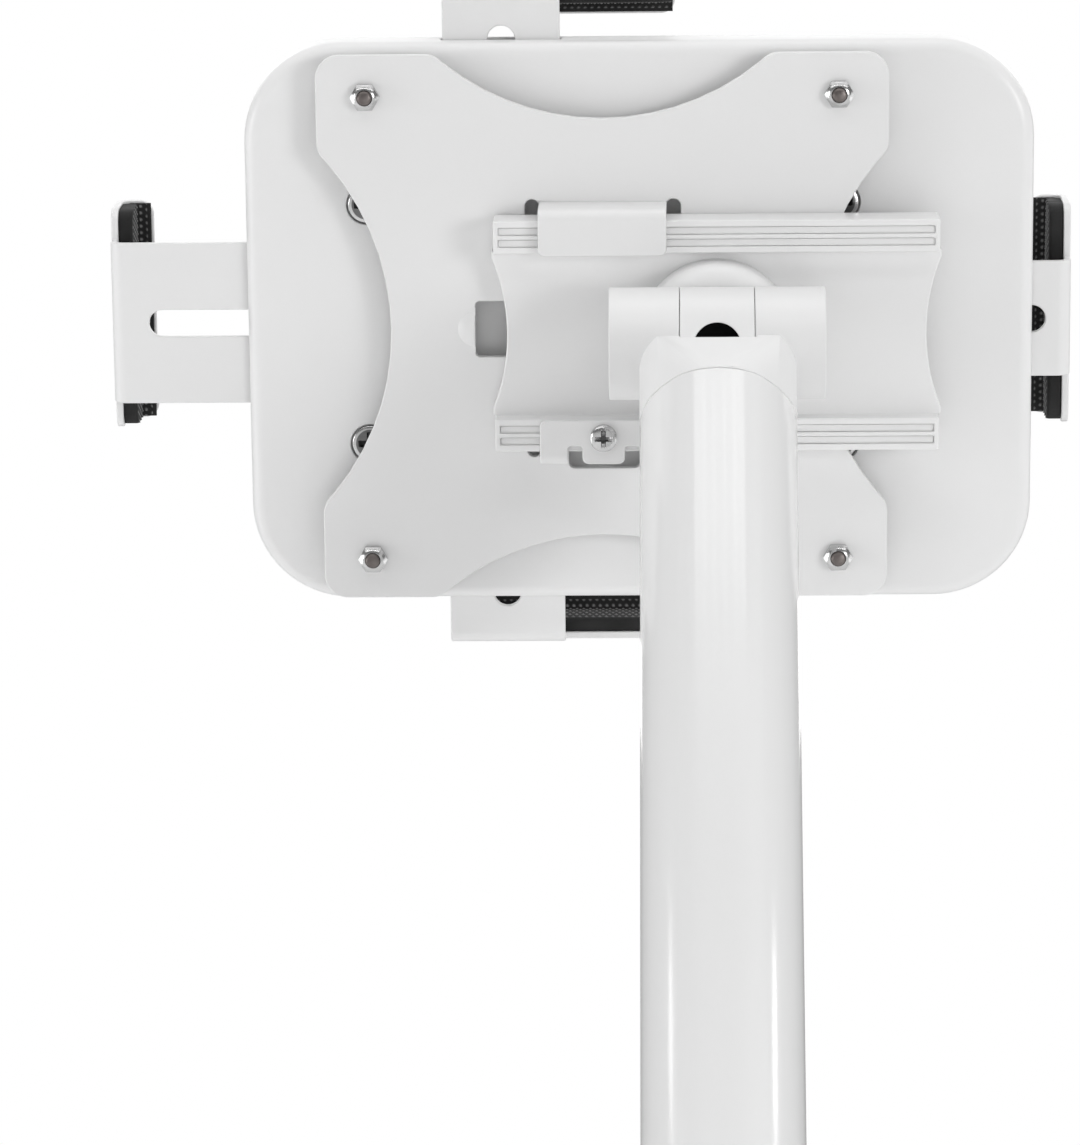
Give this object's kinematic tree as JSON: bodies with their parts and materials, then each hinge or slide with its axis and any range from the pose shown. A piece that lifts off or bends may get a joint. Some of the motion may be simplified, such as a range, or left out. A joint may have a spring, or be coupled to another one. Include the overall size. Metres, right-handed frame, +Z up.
{
  "type": "adjustable tablet floor stand",
  "caption": "Floor stand with an oval pole, a tilting and swivelling rail head, and a sliding tablet holder with extending padded arms.",
  "frame": {"origin": "on the floor, under the middle of the base plate", "axes": "+Z up along the pole, +Y towards the side that the tablet's screen faces"},
  "size_m": [0.38, 0.32, 1.165],
  "materials": {
    "white_steel": "satin white powder coat",
    "white_pole": "glossy white paint",
    "white_casting": "satin white paint on die casting",
    "white_rail": "white paint on extrusion",
    "white_cover": "fine satin white",
    "black_rubber": "dotted matt rubber",
    "black_screw": "black oxide",
    "bright_screw": "bright plated",
    "plain_steel": "plain steel"
  },
  "bodies": {
    "stand": {"base_plate": "white_steel", "base_feet": "black_rubber", "pole_foot": "white_steel", "foot_bolts": "bright_screw", "foot_set_screws": "bright_screw", "pole_tube": "white_pole", "pole_cap": "white_casting", "cap_screws": "bright_screw", "friction_screw": "black_screw"},
    "yoke": {"tilt_yoke": "white_casting", "tilt_bolt": "plain_steel", "tilt_nut": "plain_steel", "friction_washers": "black_screw", "swivel_retainer": "plain_steel", "swivel_screw": "bright_screw"},
    "rail": {"rail_plate": "white_rail"},
    "holder": {"adapter_plate": "white_steel", "lock_screw": "bright_screw", "studs": "plain_steel", "stud_nuts": "bright_screw", "stud_spacers": "white_steel", "holder_rear_cover": "white_cover", "holder_front_plate": "white_cover", "cover_screws": "bright_screw", "arm_guide_posts": "plain_steel"},
    "left_grip": {"left_arm": "white_steel", "left_arm_pad": "black_rubber"},
    "right_grip": {"right_arm": "white_steel", "right_arm_pad": "black_rubber"},
    "top_grip": {"top_arm": "white_steel", "top_arm_pad": "black_rubber"},
    "bottom_grip": {"bottom_arm": "white_steel", "bottom_arm_pad": "black_rubber"}
  },
  "joints": [
    {"name": "tilt", "type": "hinge", "parent": "stand", "child": "yoke", "pos_m": [0, 0.022, 1.08], "axis": [1, 0, 0], "range_deg": [-35, 45]},
    {"name": "swivel", "type": "hinge", "parent": "yoke", "child": "rail", "pos_m": [0, 0.02246, 1.07934], "axis": [0, 0.8192, 0.5736], "range_deg": [-90, 90]},
    {"name": "rail_slide", "type": "slide", "parent": "rail", "child": "holder", "axis": [1, 0, 0], "range_m": [-0.009, 0.0064]},
    {"name": "left_arm_slide", "type": "slide", "parent": "holder", "child": "left_grip", "axis": [-1, 0, 0], "range_m": [-0.024, 0.024]},
    {"name": "right_arm_slide", "type": "slide", "parent": "holder", "child": "right_grip", "axis": [1, 0, 0], "range_m": [-0.003, 0.024]},
    {"name": "top_arm_slide", "type": "slide", "parent": "holder", "child": "top_grip", "axis": [0, -0.5736, 0.8192], "range_m": [-0.006, 0.024]},
    {"name": "bottom_arm_slide", "type": "slide", "parent": "holder", "child": "bottom_grip", "axis": [0, 0.5736, -0.8192], "range_m": [-0.006, 0.024]}
  ]
}
